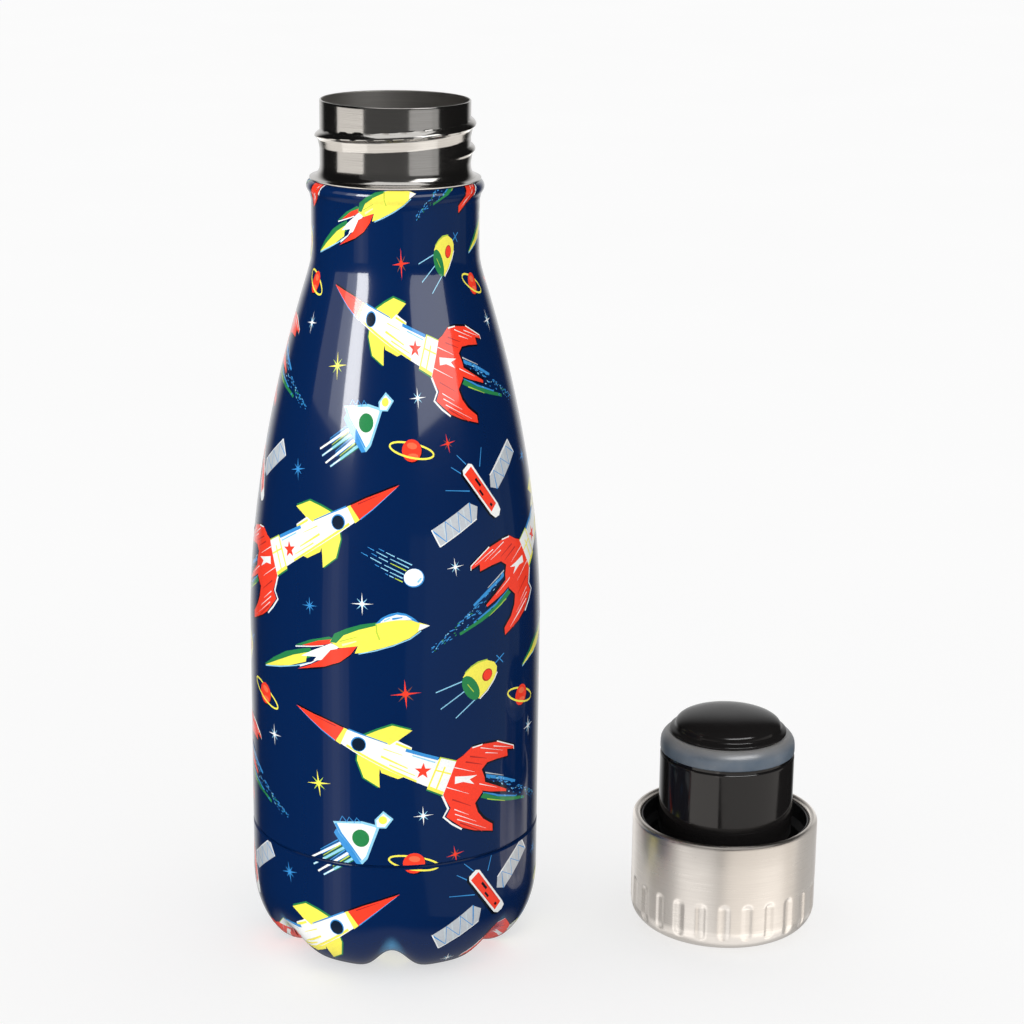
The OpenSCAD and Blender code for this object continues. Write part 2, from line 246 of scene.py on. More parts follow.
# gloss enamel over a print; the print's colours are stored on the piece's corners
navy = (0.0003, 0.0125, 0.064)
enamel = Finish("printed_gloss_enamel", navy, Roughness=0.3, Specular_IOR_Level=0.15, Coat_Weight=1,
                Coat_Roughness=0.06, Coat_IOR=1.5)
ink = add(enamel.tree, "ShaderNodeAttribute", {"attribute_type": "GEOMETRY", "attribute_name": "print"})
ink_grain = enamel.group(mottle, Size_per_metre=2600, Detail=5)
ink_cloud = enamel.group(mottle, Size_per_metre=30, Detail=3)
grainy = enamel.mix(enamel.range(ink_grain.outputs["Tone"], 0, 0.4, 0.42, 0.7), ink.outputs["Color"],
                    (0.72, 0.76, 0.84), "MULTIPLY")
cloudy = enamel.mix(enamel.range(ink_cloud.outputs["Tone"], 0, 0.5, 0.35, 0.7), grainy, (0.8, 0.86, 0.9),
                    "MULTIPLY")
enamel.feed(cloudy, "Base Color")
enamel.feed(enamel.range(ink_grain.outputs["Tone"], 0.15, 0.27), "Roughness")
enamel.bump(ink_cloud.outputs["Tone"], 0.06, 0.05)

floor_paint = Finish("pale_floor", (0.46, 0.46, 0.46), Roughness=0.8, Specular_IOR_Level=0,
                     Emission_Color=(1, 1, 1, 1), Emission_Strength=0.61)
floor_cloud = floor_paint.group(mottle, Size_per_metre=8, Detail=3)
floor_paint.feed(floor_paint.mix(floor_cloud.outputs["Tone"], (0.45, 0.45, 0.45), (0.47, 0.47, 0.47)),
                 "Base Color")

# ---- making pieces ----


def finish_piece(bm, name, finish, body, nodes, sharp_degrees, at_x):
    """Stores a bmesh drawn in millimetres round its own axis as a piece at the origin."""
    bmesh.ops.translate(bm, verts=bm.verts, vec=(at_x, 0, 0))
    bmesh.ops.scale(bm, verts=bm.verts, vec=(MM, MM, MM))
    mesh = bpy.data.meshes.new(name)
    bm.to_mesh(mesh)
    bm.free()
    mesh.polygons.foreach_set("use_smooth", [True] * len(mesh.polygons))
    mesh.set_sharp_from_angle(angle=math.radians(sharp_degrees))
    mesh.materials.append(finish.material)
    piece = put_in_scene(name, mesh)
    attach(piece, body)
    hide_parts(*nodes)
    return piece


def arc(x, z, r, start, stop, count):
    return [(x + r * math.cos(math.radians(start + (stop - start) * i / count)),
             z + r * math.sin(math.radians(start + (stop - start) * i / count))) for i in range(count + 1)]


def steps(low, high, count):
    return [low + (high - low) * i / count for i in range(count + 1)]


def lathe(section, count, closed=True):
    """Spins (radius, height) points once round the Z axis. A section that isn't closed ends on the axis."""
    bm = bmesh.new()
    ring = [bm.verts.new((r, 0, z)) for r, z in section]
    edges = [bm.edges.new((a, b)) for a, b in zip(ring, ring[1:] + (ring[:1] if closed else []))]
    bmesh.ops.spin(bm, geom=ring + edges, cent=(0, 0, 0), axis=(0, 0, 1), angle=math.tau, steps=count,
                   use_merge=True)
    bmesh.ops.remove_doubles(bm, verts=bm.verts, dist=1e-4)
    if closed:
        bmesh.ops.dissolve_degenerate(bm, dist=1e-5, edges=bm.edges)
    bmesh.ops.recalc_face_normals(bm, faces=bm.faces)
    return bm


def smooth_step(t):
    t = min(1, max(0, t))
    return t * t * (3 - 2 * t)


pitch = 5.5  # the rise of one turn, for the neck's thread and the liner's


def raise_thread(bm, wall_r, heights, first, sweep, start_z, profile):
    """Moves the wall between two heights in or out along a screw line.
    The line runs sweep degrees from the angle first, at start_z where the angle is 0."""
    for v in bm.verts:
        r = math.hypot(v.co.x, v.co.y)
        if abs(r - wall_r) < 1e-3 and heights[0] < v.co.z < heights[1]:
            lift = 0
            for turns in range(-1, 3):
                angle = math.degrees(math.atan2(v.co.y, v.co.x)) + 360 * turns
                t = (angle - first) / sweep
                if 0 < t < 1:
                    fade = smooth_step(min(1, 9 * t, 9 * (1 - t)))
                    lift = max(lift, profile(v.co.z - start_z - pitch * angle / 360, fade), key=abs)
            v.co.x *= (r + lift) / r
            v.co.y *= (r + lift) / r


# ---- the shape of the shell and of the lobed base ----

neck_r, shell_wall = 18.15, 0.55
shoulder_z, shoulder_in, shoulder_rise, shoulder_power, shoulder_rows = 75, 12.5, 75.4, 1.85, 190
bead_z, bead_round, flare_z = 172.4, 1.55, 174
corner_z, foot_r, foot_flat, valley_r, valley_z, floor_z = 16, 20.2, 0.45, 24, 5.1, 6
floor_r, hole_r = 11, 7
lobes, valley_turn, valley_power = 7, math.radians(-3), 3


def soft_max(a, b, width):
    """The larger of two values, with the crossing rounded off."""
    return b + width * math.log1p(math.exp(min(60, (a - b) / width)))


def shell_radius(z):
    if z <= shoulder_z:
        return body_r
    lean = body_r - shoulder_in * ((z - shoulder_z) / shoulder_rise) ** shoulder_power
    return min(body_r, soft_max(lean, neck_r, 0.35))


# the upper part of the shell, where height alone doesn't say the place, runs on as a list of points
bead_run = ([(neck_r + 0.275 * t * t * (3 - 2 * t), bead_z - 3.2 + 1.6 * t) for t in steps(0.02, 1, 6)]
            + arc(neck_r - 0.55, bead_z, bead_round, -32, 68, 12))
bead_start = bead_z - 3.4


def lengths(points):
    total, out = 0, [0]
    for (a, b), (c, d) in zip(points, points[1:]):
        total += math.hypot(c - a, d - b)
        out.append(total)
    return out


slope_points = [(shell_radius(z), z) for z in steps(shoulder_z, bead_start, shoulder_rows)] + bead_run
slope_marks = [shoulder_z + length for length in lengths(slope_points)]
shell_top, bead_mark = slope_marks[-1], slope_marks[shoulder_rows]


def on_shell(s, v):
    """The place on the shell s millimetres round from the front; v is the height along the surface."""
    angle = s / body_r
    r, z = body_r, v
    if v > shoulder_z:
        i = min(len(slope_marks) - 2, bisect.bisect_right(slope_marks, v) - 1)
        f = (v - slope_marks[i]) / (slope_marks[i + 1] - slope_marks[i])
        (r, z), (r2, z2) = slope_points[i], slope_points[i + 1]
        r, z = r + (r2 - r) * f, z + (z2 - z) * f
    return Vector((r * math.sin(angle), -r * math.cos(angle), z))


def base_section(u, in_r, low):
    """A point of the base's section: u goes down the wall to 1, round the corner to 2, in to the
    floor to 3 and on to its hole to 4."""
    if u <= 1:
        return body_r, seam_low - 0.35 + (corner_z - seam_low + 0.35) * u
    if u <= 2:
        t = math.radians(90 * (u - 1))
        return (in_r + (body_r - in_r) * max(0, math.cos(t)) ** 0.92,
                corner_z - (corner_z - low) * math.sin(t) ** 0.96)
    if u <= 3:
        rise = (floor_z - low) * (1 - math.cos(math.pi * (u - 2))) / 2
        return in_r + (floor_r - in_r) * (u - 2), low + rise
    return floor_r + (hole_r - floor_r) * (u - 3), floor_z


corner_length = 23
base_marks = [seam_low - 0.35, corner_z, corner_z - corner_length, corner_z - corner_length - 13,
              corner_z - corner_length - 17]


def on_base(s, v):
    angle = s / body_r
    u = 0
    for i in range(4):
        if v <= base_marks[i]:
            u = i + min(1, (base_marks[i] - v) / (base_marks[i] - base_marks[i + 1]))
    valley = ((1 + math.cos(lobes * (angle - valley_turn))) / 2) ** valley_power
    a, b = base_section(u, foot_r, -foot_flat), base_section(u, valley_r, valley_z)
    r, z = (a[0] * (1 - valley) + b[0] * valley, max(0, a[1] * (1 - valley) + b[1] * valley))
    return Vector((r * math.sin(angle), -r * math.cos(angle), z))


reflection_top, reflection_run = 10.5, 8  # where the painted reflection of the white floor starts in the valleys, and the length over which it grows


def painted_valley_reflection(s, v):
    """How strongly the painted reflection of the white floor shows in the pressed valleys at this point of
    the flat sheet, 0 to 1.
    """
    down = min(1, (reflection_top - v) / reflection_run)
    if down <= 0:
        return 0
    turn = (s / body_r - valley_turn) * lobes / (2 * math.pi)
    off = abs((turn + 0.5) % 1 - 0.5) * 2 * math.pi / lobes * body_r
    return smooth_step(min(1, 1.3 * down)) * max(0, 1 - off / (0.9 + 3 * down))


def normal_at(place, s, v, low, high):
    ds, dv = 0.15, 0.12
    across = place(s + ds, v) - place(s - ds, v)
    upward = place(s, min(high, v + dv)) - place(s, max(low, v - dv))
    n = across.cross(upward)
    return n.normalized() if n.length > 1e-9 else Vector((0, 0, -1))


# ---- the print: flat inks laid down in order, one repeat of the pattern at a time ----

RED, DEEP_RED = (0.86, 0.045, 0.019), (0.42, 0.02, 0.015)
YELLOW, LIME = (0.86, 0.76, 0.085), (0.42, 0.56, 0.05)
GREEN, WHITE = (0.02, 0.2, 0.06), (0.82, 0.82, 0.79)
SKY, PALE = (0.035, 0.24, 0.56), (0.25, 0.55, 0.72)
GREY, BLACK = (0.46, 0.48, 0.50), (0.002, 0.004, 0.010)
# the light blue after RUST is not an ink: it is a painted reflection of the white floor, laid into the base's
# pressed valleys
RUST, FLOOR_REFLECTION_BLUE = (0.2, 0.06, 0.03), (0.07, 0.27, 0.48)


def strip(points, width, colour, taper=0):
    """A brush line through the points; taper narrows its far end."""
    left, right_side = [], []
    for i, (x, y) in enumerate(points):
        a = points[max(0, i - 1)]
        b = points[min(len(points) - 1, i + 1)]
        d = math.hypot(b[0] - a[0], b[1] - a[1]) or 1
        nx, ny = -(b[1] - a[1]) / d, (b[0] - a[0]) / d
        w = width / 2 * (1 - taper * i / (len(points) - 1))
        left.append((x + nx * w, y + ny * w))
        right_side.append((x - nx * w, y - ny * w))
    return [([a, b, c, d], colour) for a, b, c, d in zip(right_side, right_side[1:], left[1:], left)]


def oval(x, y, rx, ry, tilt, start, stop, count):
    """Points at even steps along an oval, from one angle to another."""
    c, s = math.cos(math.radians(tilt)), math.sin(math.radians(tilt))
    angles = [math.radians(start + (stop - start) * i / count) for i in range(count + 1)]
    flat = [(rx * math.cos(a), ry * math.sin(a)) for a in angles]
    return [(x + px * c - py * s, y + px * s + py * c) for px, py in flat]


def disc(x, y, rx, ry, colour, tilt=0, count=20):
    return [(oval(x, y, rx, ry, tilt, 0, 360, count)[:-1], colour)]


def inked(*rows):
    """Layers of ink in order: (points, colour) is filled and (points, width, colour) is a
    brush line; a list is layers already made."""
    art = []
    for row in rows:
        art += row if isinstance(row, list) else [row] if len(row) == 2 else strip(*row)
    return art


def burst(size, long_colour, short_colour, lean):
    art, w = [], size * 0.085
    for i in range(8):
        c, s = math.cos(math.radians(45 * i + lean)), math.sin(math.radians(45 * i + lean))
        reach = size * (0.68 if i % 2 else 1)
        art += [([(reach * c, reach * s), (-w * s, w * c), (-w * c, -w * s), (w * s, -w * c)],
                 short_colour if i % 2 else long_colour)]
    return art + disc(0, 0, size * 0.2, size * 0.2, long_colour, 0, 8)


def five_star(x, y, r, colour, lean):
    out = []
    for i in range(10):
        a = math.radians(lean + 36 * i)
        d = r * (0.4 if i % 2 else 1)
        out.append((x + d * math.cos(a), y + d * math.sin(a)))
    return [(out, colour)]


def shifted(points, dx, dy, colour):
    return [(x + dx, y + dy) for x, y in points], colour


def moved(art, x, y, turn_by=0):
    c, s = math.cos(math.radians(turn_by)), math.sin(math.radians(turn_by))
    return [([(x + (px * c - py * s), y + (px * s + py * c)) for px, py in points], colour)
            for points, colour in art]


def flipped(art):
    return [([(x, -y) for x, y in points], colour) for points, colour in art]


def plume(seed):
    """Broken brush lines and dots that trail from 46 to 70 mm behind the nose."""
    pick = random.Random(seed)
    art = strip([(-45.5, -2), (-52, -2.3), (-58, -1.7), (-64, -0.9)], 1.3, GREEN, 0.5)
    art += inked(
        ([(-46, -1.2), (-53, -1.5), (-60, -0.9)], 0.5, SKY, 0.4),
        ([(-46, 2.1), (-52, 2.5), (-58, 2.3)], 0.8, SKY, 0.3), ([(-46, 1.1), (-53, 1.3)], 0.35, BLACK, 0.3),
        ([(-47, 2.9), (-53, 3.1)], 0.3, GREY, 0.6), ([(-50, -2.7), (-56, -2.4)], 0.25, LIME, 0.6))
    for i in range(120):
        t = pick.random() ** 0.8
        x = -47 - 24 * t
        low, high = (-2 + 1.2 * t, 3.1 - 2.6 * t)
        y = pick.uniform(low, high) if i % 2 else high - abs(pick.gauss(0, 0.5))
        r = pick.uniform(0.1, 0.22) * (1.2 - 0.5 * t)
        lean = pick.uniform(-25, 25)
        long = pick.uniform(1.1, 3.4)
        colour = SKY if i % 3 else (PALE, BLACK, GREEN)[i % 9 // 3]
        art += disc(x, y, r * long, r * 0.8, colour, lean, 6)
    return art


def rocket(seed):
    """A toy rocket that points along +x, with its nose at the origin."""
    art = plume(seed)
    fin = [(-38, 3.6), (-39.6, 5.4), (-41, 7.7), (-43.8, 8.9), (-47.8, 10.1), (-53.8, 9.9), (-54.2, 9.3),
           (-51.8, 8.9), (-52.6, 7.5), (-49.2, 6.4), (-46.6, 5.2), (-45.7, 3.4), (-47.2, 1.9), (-48, 0.5),
           (-46.4, -1), (-38.2, -1)]
    low_fin = [(-38.2, 1), (-46.4, 1), (-48, -1.4), (-47, -4.2), (-48.6, -6), (-50.8, -7.2), (-53.9, -7.9),
               (-54.6, -9.4), (-49.2, -10.1), (-46, -10.1), (-41.2, -8.7), (-41.4, -6.5), (-39.4, -5),
               (-38.2, -3.8)]
    spike = [(-44, 1.1), (-50, 0.7), (-55.3, 0.25), (-55.4, -0.3), (-50, -1), (-44, -1.3)]
    for shape in (fin, low_fin, spike):
        art += [shifted(shape, -0.25, 0.55, BLACK), shifted(shape, -0.35, -0.3, BLACK)]
    art += inked(
        ([(-38.2, -4.2), (-40.9, -6.8), (-40.6, -8.9), (-43.2, -9.9), (-46, -10.5)], 0.5, WHITE, 0.2),
        (fin, RED), (low_fin, RED), (spike, RED),
        ([(-47.6, 10.2), (-53.9, 10), (-54.4, 9.2)], 0.28, WHITE, 0.3),
        ([(-41.2, 7.6), (-43.6, 8.8)], 0.3, WHITE))
    for y, a, b in ((2.4, -38.6, -44), (-2.3, -38.6, -44.6), (8, -43.4, -50.4), (7.2, -45.2, -49),
                    (9, -47, -53), (-7.6, -43, -49), (-8.6, -44, -52.4), (-6.6, -42.4, -46.4),
                    (0.2, -46.4, -52)):
        art += strip([(a, y), (b, y * 1.06)], 0.2, WHITE, 0.8)
    for y, a, b in ((5.6, -41.4, -46), (4.2, -40.8, -45.4), (-4.6, -41, -46.2), (-9.2, -45, -51.6)):
        art += strip([(a, y), (b, y * 1.08)], 0.36, DEEP_RED, 0.7)
    art += [([(-39.6, 0.5), (-42.6, 1.3), (-45, 2), (-43.4, 0.7), (-45, -0.1), (-42, -0.2), (-40.2, -1.1)],
             WHITE)]
    # wings
    wing = [(-16.9, 2), (-19.3, 4.7), (-21.8, 7), (-26.2, 7.5), (-24.6, 4.9), (-23.4, 2.4)]
    art += [shifted(wing, 0.3, 0.35, GREEN), (wing, YELLOW)]
    low_wing = [(-17.3, -2), (-17.8, -3.6), (-20.7, -6.7), (-24.7, -7.3), (-23.5, -4.6), (-22.8, -2.4)]
    art += inked(
        [shifted(low_wing, 0.25, -0.25, GREEN), (low_wing, YELLOW)],
        ([(-22.8, 2.4), (-27.9, 2.6), (-27.6, 3.9), (-24, 4.2)], WHITE),
        ([(-24, 3.5), (-27.6, 3.4)], 0.5, YELLOW),
        ([(-22.4, -2.6), (-28.8, -2.8), (-27.6, -3.9), (-23.8, -4)], YELLOW),
        # fuselage
        ([(-13, 1.8), (-17, 2.2), (-24, 2.7), (-34.6, 3.2), (-34.6, -3.4), (-24, -2.8), (-17, -2.3),
          (-13, -1.9)], WHITE),
        ([(-13.4, 2), (-18, 2.45), (-22.4, 2.75)], 0.35, SKY, 0.4),
        ([(-26.6, 2.9), (-30.5, 3.1), (-34.2, 3.3)], 0.75, SKY), ([(-28.4, 2.2), (-33.8, 2.3)], 0.28, PALE),
        ([(-14.4, -1.6), (-20, -2.1), (-26, -2.6), (-31.6, -3)], 0.55, YELLOW, 0.2),
        ([(-22.2, -0.5), (-28.6, -0.9)], 0.5, YELLOW, 0.5),
        ([(-24.6, -1.6), (-30.8, -1.9)], 0.34, YELLOW, 0.5),
        ([(-22, 1.3), (-26.4, 1.5)], 0.26, YELLOW, 0.6),
        # collar
        ([(-34.4, 3.6), (-38.5, 3.8), (-38.5, -4.2), (-34.4, -3.9)], WHITE),
        ([(-34.6, 3.6), (-34.6, -3.9)], 0.4, YELLOW), ([(-36.4, 2), (-36.5, -3.9)], 0.4, YELLOW),
        ([(-34.6, 0.7), (-38.4, 0.8)], 0.36, YELLOW), ([(-34.5, -3.5), (-38.4, -3.8)], 0.8, YELLOW),
        ([(-34.4, -4.1), (-38.5, -4.4)], 0.3, GREEN), ([(-34.4, 3.7), (-38.5, 3.9)], 0.25, LIME),
        five_star(-32, -0.35, 1.95, RED, 72), disc(-16.7, -0.1, 1.72, 1.72, SKY),
        disc(-16.75, -0.15, 1.5, 1.5, (0.004, 0.012, 0.03)),
        # nose
        ([(-11.6, 1.7), (-13.2, 1.9), (-13.1, -2.1), (-11.4, -1.9)], YELLOW))
    nose = [(-12.4, 1.75), (-8.5, 1.45), (-4.5, 0.8), (0, 0), (-4.5, -0.75), (-8, -1.4), (-11.8, -1.95)]
    return art + inked(
        [shifted(nose, 0.1, 0.38, BLACK), (nose, RED)], ([(-10.6, 1.2), (-5, 0.5)], 0.32, DEEP_RED, 0.7),
        ([(-11.6, -1.95), (-8, -1.45), (-4.5, -0.8), (-1, -0.2)], 0.26, SKY, 0.7))


def needle_ship():
    """A slim ship that points along +x, with its nose at the origin."""
    art = [([(-44.7, 0), (-40, 1.3), (-35, 2.3), (-31, 2.4), (-27.6, 2.3), (-27, 0.4), (-35, -0.8),
             (-43, -0.4)], GREEN)]
    art += inked(
        ([(-44.3, -0.2), (-39, 0.5), (-33, 1.3), (-28.6, 1.4), (-29.8, -0.6), (-35, -0.9), (-42.8, -0.5)],
         YELLOW),
        ([(-44.4, -0.4), (-38, -0.9), (-33, -1.1), (-28.8, -0.9)], 0.3, PALE, 0.3),
        ([(-31.6, 3.4), (-27, 4), (-22, 3.9), (-21.2, 3.3), (-22.2, 2.4), (-26.4, 2.6)], GREEN),
        ([(-29.6, 3.1), (-25, 3.5), (-21.6, 3.2), (-22.2, 2.3), (-26.2, 2.5)], RED),
        ([(-31.6, 3.1), (-27, 2.5), (-24, 2.2)], 0.26, WHITE, 0.3),
        ([(-30.6, 0.9), (-27.4, 1.6), (-22, 2.4), (-20.4, 1.2), (-22, 0.6), (-25.6, -0.8), (-27.6, -0.6),
          (-26.6, 0.1)], WHITE))
    low_fin = [(-22.6, 1), (-20.3, 0.9), (-16.4, 0.5), (-18.4, -0.9), (-21.3, -2), (-25.2, -2.3),
               (-32.6, -1.8), (-28.8, -1.4), (-25.4, -0.7)]
    return art + inked(
        [shifted(low_fin, -0.2, -0.35, BLACK), (low_fin, RED)],
        ([(-31.8, -1.3), (-28.4, -1), (-25.6, -0.3)], 0.34, WHITE, 0.5),
        # hull
        ([(-22.2, 2.8), (-20.6, 4.2), (-17.6, 4.6), (-14, 4.7), (-10.6, 4.3), (-6.6, 3.9), (-3.4, 2.7),
          (-1.8, 1.4), (0, 0), (-2.5, -0.2), (-4.8, -1), (-8, -1.3), (-11, -1.3), (-15, -1.2), (-17.4, -0.9),
          (-16.2, 0.5), (-20.4, 1)], YELLOW),
        ([(-22.2, 2.7), (-20.6, 4.3), (-17.6, 4.8), (-14, 4.9), (-10.4, 4.4), (-11, 3.8), (-15, 3.9),
          (-18.6, 3.5), (-20.8, 2.2)], GREEN),
        ([(-10.8, 4.2), (-11.3, 2.4), (-11.2, 0.6)], 0.34, LIME),
        ([(-20, 2.4), (-15.6, 2.5)], 0.24, LIME, 0.5),
        ([(-19.6, 1.5), (-16.2, 1.6)], 0.5, (0.84, 0.82, 0.4), 0.5),
        ([(-2.2, -0.4), (-5, -1.25), (-9, -1.5), (-13, -1.45), (-16.6, -1.2)], 0.24, PALE),
        ([(-1.9, 1.2), (0, 0), (-2.8, -0.2)], WHITE),
        ([(-11, 4.2), (-9.3, 5.1), (-7.4, 5.4), (-5.6, 5.2), (-4, 4.3), (-2.8, 2.9), (-1.9, 1.3), (-3.4, 2.6),
          (-6.6, 3.8)], SKY),
        ([(-10, 4.2), (-8.6, 4.8), (-6, 4.8), (-4.2, 3.9), (-3.2, 2.7), (-6.6, 3.7)], WHITE),
        ([(-7.2, 4.2), (-5, 3.8)], 0.5, SKY, 0.5), ([(-9, 4.3), (-7.6, 4.5)], 0.3, PALE))


def lander():
    """A three-sided lander with jets that trail down and to the left."""
    art = []
    jets = [((-4.2, -1.4), (-12.2, -6.5)), ((-3.6, -2.5), (-11.4, -7.9)), ((-2.6, -3.6), (-10.2, -9.3)),
            ((-1.6, -4.8), (-8.8, -9.9))]
    for i, (a, b) in enumerate(jets):
        c = (a[0] * 0.35 + b[0] * 0.65, a[1] * 0.35 + b[1] * 0.65)
        art += inked(
            ([a, c], 1, GREEN if i % 2 else SKY, 0.2), ([a, b], 0.62, PALE if i % 2 else WHITE, 0.35),
            ([(a[0] - 1, a[1] + 0.4), (c[0] - 0.2, c[1] + 0.7)], 0.34, LIME if i % 2 else SKY, 0.6),
            ([c, b], 0.34, WHITE, 0.8))
    art += inked(
        ([(-5.6, 1.6), (-3, -1.3), (0.3, -6.1), (-0.8, -6.3), (-4.4, -2), (-6.2, 0.6)], SKY),
        ([(-6.4, 3.2), (-4.9, 0.6), (-2.4, -2.2), (0.3, -6.2), (1.5, -4.8), (2.9, -0.8), (4.3, 3.1),
          (0.3, 4)], PALE),
        ([(-5.4, 2.9), (-4.2, 0.7), (-2, -2), (0.3, -5.2), (1.1, -4.2), (2.3, -0.8), (3.5, 2.7), (0.3, 3.4)],
         WHITE),
        ([(-5.8, 2.8), (-4.6, 0.7), (-2.3, -2), (0, -5.2)], 0.5, SKY, 0.4))
    for x in (-4.8, -3.2, -1.5):
        art += strip([(x, 3.4), (x + 0.6, 4.7), (x + 1.5, 3.7)], 0.18, SKY)
    return art + inked(
        disc(0, 0, 1.95, 2.05, GREEN),
        ([(3.3, 2.6), (3.1, 4.5), (5, 6.6), (7.2, 4.8), (5.6, 2.6)], PALE),
        ([(3.6, 2.9), (3.5, 4.4), (5, 6), (6.6, 4.7), (5.3, 2.9)], WHITE),
        disc(4.9, 4.5, 0.95, 0.95, YELLOW, 0, 12))


def truss(length, width):
    """A lattice panel that runs along +x from a point."""
    half = width / 2
    art = [([(0, 0), (1.6, half), (length, half), (length, -half), (1.6, -half)], GREY)]
    for x in (3.6, 5.4, 7.4, 9.4):
        art += strip([(x, -half + 0.2), (x + 1.1, half - 0.2)], 0.3, (0.5, 0.56, 0.58))
    path = [(x, (half - 0.1) * (1 if i % 2 else -1)) for i, x in enumerate(steps(1.4, length, 6))]
    return art + inked(
        (path, 0.34, SKY), ([(length, half), (length, -half)], 0.3, WHITE),
        ([(1.6, half), (length, half)], 0.24, WHITE))


def satellite():
    art = moved(truss(12.6, 4), 3.4, 0.3, 35) + moved(truss(12.4, 4.2), -1.2, -3.2, 207)
    for a, b in (((-3, 0.4), (-9.4, 1.2)), ((0.6, 5.2), (1.8, 9.2)), ((-3.4, 6.2), (-5.8, 8.4)),
                 ((-4.4, 4), (-7.6, 6))):
        art += strip([a, b], 0.26, SKY, 0.4)
    body = [(-7.2, 1.2), (-6.4, 1.9), (5.4, 1.75), (7, 1.4), (7.6, 0.2), (7.1, -1), (5.4, -1.5), (-6.4, -1.5),
            (-7.2, -0.9)]
    hull = inked(
        shifted(body, -0.2, -0.6, BLACK), (body, WHITE),
        ([(-6.2, 1.4), (5, 1.3), (5.2, -1), (-6.2, -1.1)], RED),
        ([(-3.4, 0.8), (-1.2, 0.8), (-1.2, 0.2), (-3.4, 0.2)], BLACK),
        ([(-0.8, -0.1), (0.8, -0.1), (0.8, -0.6), (-0.8, -0.6)], BLACK),
        ([(3.6, 0.3), (4.4, 0.3), (4.4, -0.3), (3.6, -0.3)], BLACK))
    return art + moved(hull, 0.6, -0.2, -53)


def bell():
    """A bell-shaped capsule on three thin legs."""
    art = []
    for a, b in (((-4.4, 1.4), (-11, -0.5)), ((-4.2, -1), (-9.9, -4.4)), ((-1.6, -3.4), (-6.4, -6.9))):
        art += strip([a, b], 0.28, PALE, 0.2)
    return art + inked(
        ([(3.9, 3.8), (6.6, 5.4)], 0.26, SKY), ([(4.2, 5.5), (6.3, 3.4)], 0.22, SKY),
        ([(-4.7, 2.2), (-4.2, 3), (-2.6, 4.1), (-0.9, 4.8), (1.5, 5), (3.6, 4.1), (4.4, 2.9), (4.3, 1.6),
          (3.5, 0.2), (1.6, -1.8), (-0.6, -3.4), (-2.4, -2.4)], YELLOW),
        ([(-4.2, 3.1), (-2.6, 4.3), (-0.9, 5), (1.6, 5.1)], 0.3, LIME),
        ([(4.5, 1.6), (3.6, 0.1), (1.7, -2), (-0.4, -3.5)], 0.26, WHITE),
        disc(-2.7, -0.6, 3.3, 1.75, GREEN, -58, 20), ([(-3.6, 0.4), (-2, -1.6)], 0.2, LIME),
        disc(1.6, 1.6, 1.5, 1.35, DEEP_RED, 40, 16), disc(1.7, 1.6, 1.2, 1.15, RED, 40, 16))


def comet():
    art = []
    along, aside = -0.9, 0.43
    for i, (x, y, long) in enumerate(((-0.3, 2.7, 8.2), (-1, 2.1, 10.2), (-1.6, 1.5, 8.6), (-2.1, 0.7, 10.6),
                                      (-2.4, -0.1, 6.8), (-2.4, -0.9, 4.2))):
        for start, stop, width, colour, taper in (
                (0, 0.45, 0.26, LIME if i % 3 == 2 else PALE, 0.4), (0.52, 0.78, 0.22, PALE, 0.3),
                (0.84, 1, 0.2, SKY, 0.5)):
            dash = [(x + along * long * t, y + aside * long * t) for t in (start, stop)]
            art += strip(dash, width, colour, taper)
    return (art + disc(0.1, -0.1, 2.3, 2.05, SKY, 0, 18) + disc(0, 0, 2.15, 1.9, WHITE, 0, 18)
            + strip([(0.9, -1.1), (1.7, -0.2)], 0.4, PALE))


def planet(tilt):
    """A globe with a ring that passes behind it and then in front of it."""
    far, near = (strip(oval(0, 0, 5.6, 1.5, tilt, a, a + 180, 16), 0.42, YELLOW) for a in (0, 180))
    patch = (0.86, 0.14, 0.06)
    return (far + disc(0.2, -0.25, 2.45, 2.4, BLACK) + disc(0, 0, 2.45, 2.4, RED)
            + disc(0.1, 1, 1.3, 0.7, patch, -10, 12) + disc(0.2, -1.2, 1.4, 0.6, patch, 0, 12) + near)


repeat_s, repeat_v = math.tau * body_r / 3, 92
one_repeat = (
    moved(flipped(rocket(3)), -24.2, 62.8, 157.4)
    + moved(rocket(8), 0.2, 113.6, 30.4)
    + moved(needle_ship(), 6.7, 83.1, 18.2)
    + moved(lander(), -8.4, 34.5)
    + moved(satellite(), 20.7, 18.7)
    + moved(bell(), 19, 68.4)
    + moved(comet(), 3.2, 93.8)
    + moved(planet(-12), 3.3, 28.8) + moved(planet(-20), -35.7, 62.3))
for burst_size, long_colour, short_colour, lean, x, y in (
        (3.4, RED, RUST, 4, 1.4, 68), (2.2, RED, RUST, 10, 12.7, 29.8), (3.1, YELLOW, LIME, 8, -18.3, 45.9),
        (2.5, WHITE, PALE, 4, -31.9, 53.8), (2.3, WHITE, PALE, 3, 5.3, 39.8), (2.5, SKY, SKY, 12, -27, 22.7),
        (2.1, WHITE, PALE, 6, 12.8, 95.3), (2.1, SKY, SKY, 5, -20.5, 86), (2.5, WHITE, PALE, 2, -8, 87.9)):
    one_repeat += moved(burst(burst_size, long_colour, short_colour, lean), x, y)


def all_art(low, high):
    """Every repeat of the pattern that shows between two heights."""
    half = math.pi * body_r
    out = []
    for across in range(-3, 4):
        for upward in range(-1, 3):
            for points, colour in one_repeat:
                fresh = [(x + across * repeat_s, y + upward * repeat_v) for x, y in points]
                xs, ys = [p[0] for p in fresh], [p[1] for p in fresh]
                if max(xs) > -half and min(xs) < half and max(ys) > low and min(ys) < high:
                    area = sum(a[0] * b[1] - b[0] * a[1] for a, b in zip(fresh, fresh[1:] + fresh[:1]))
                    out.append((fresh if area > 0 else fresh[::-1], colour))
    return out


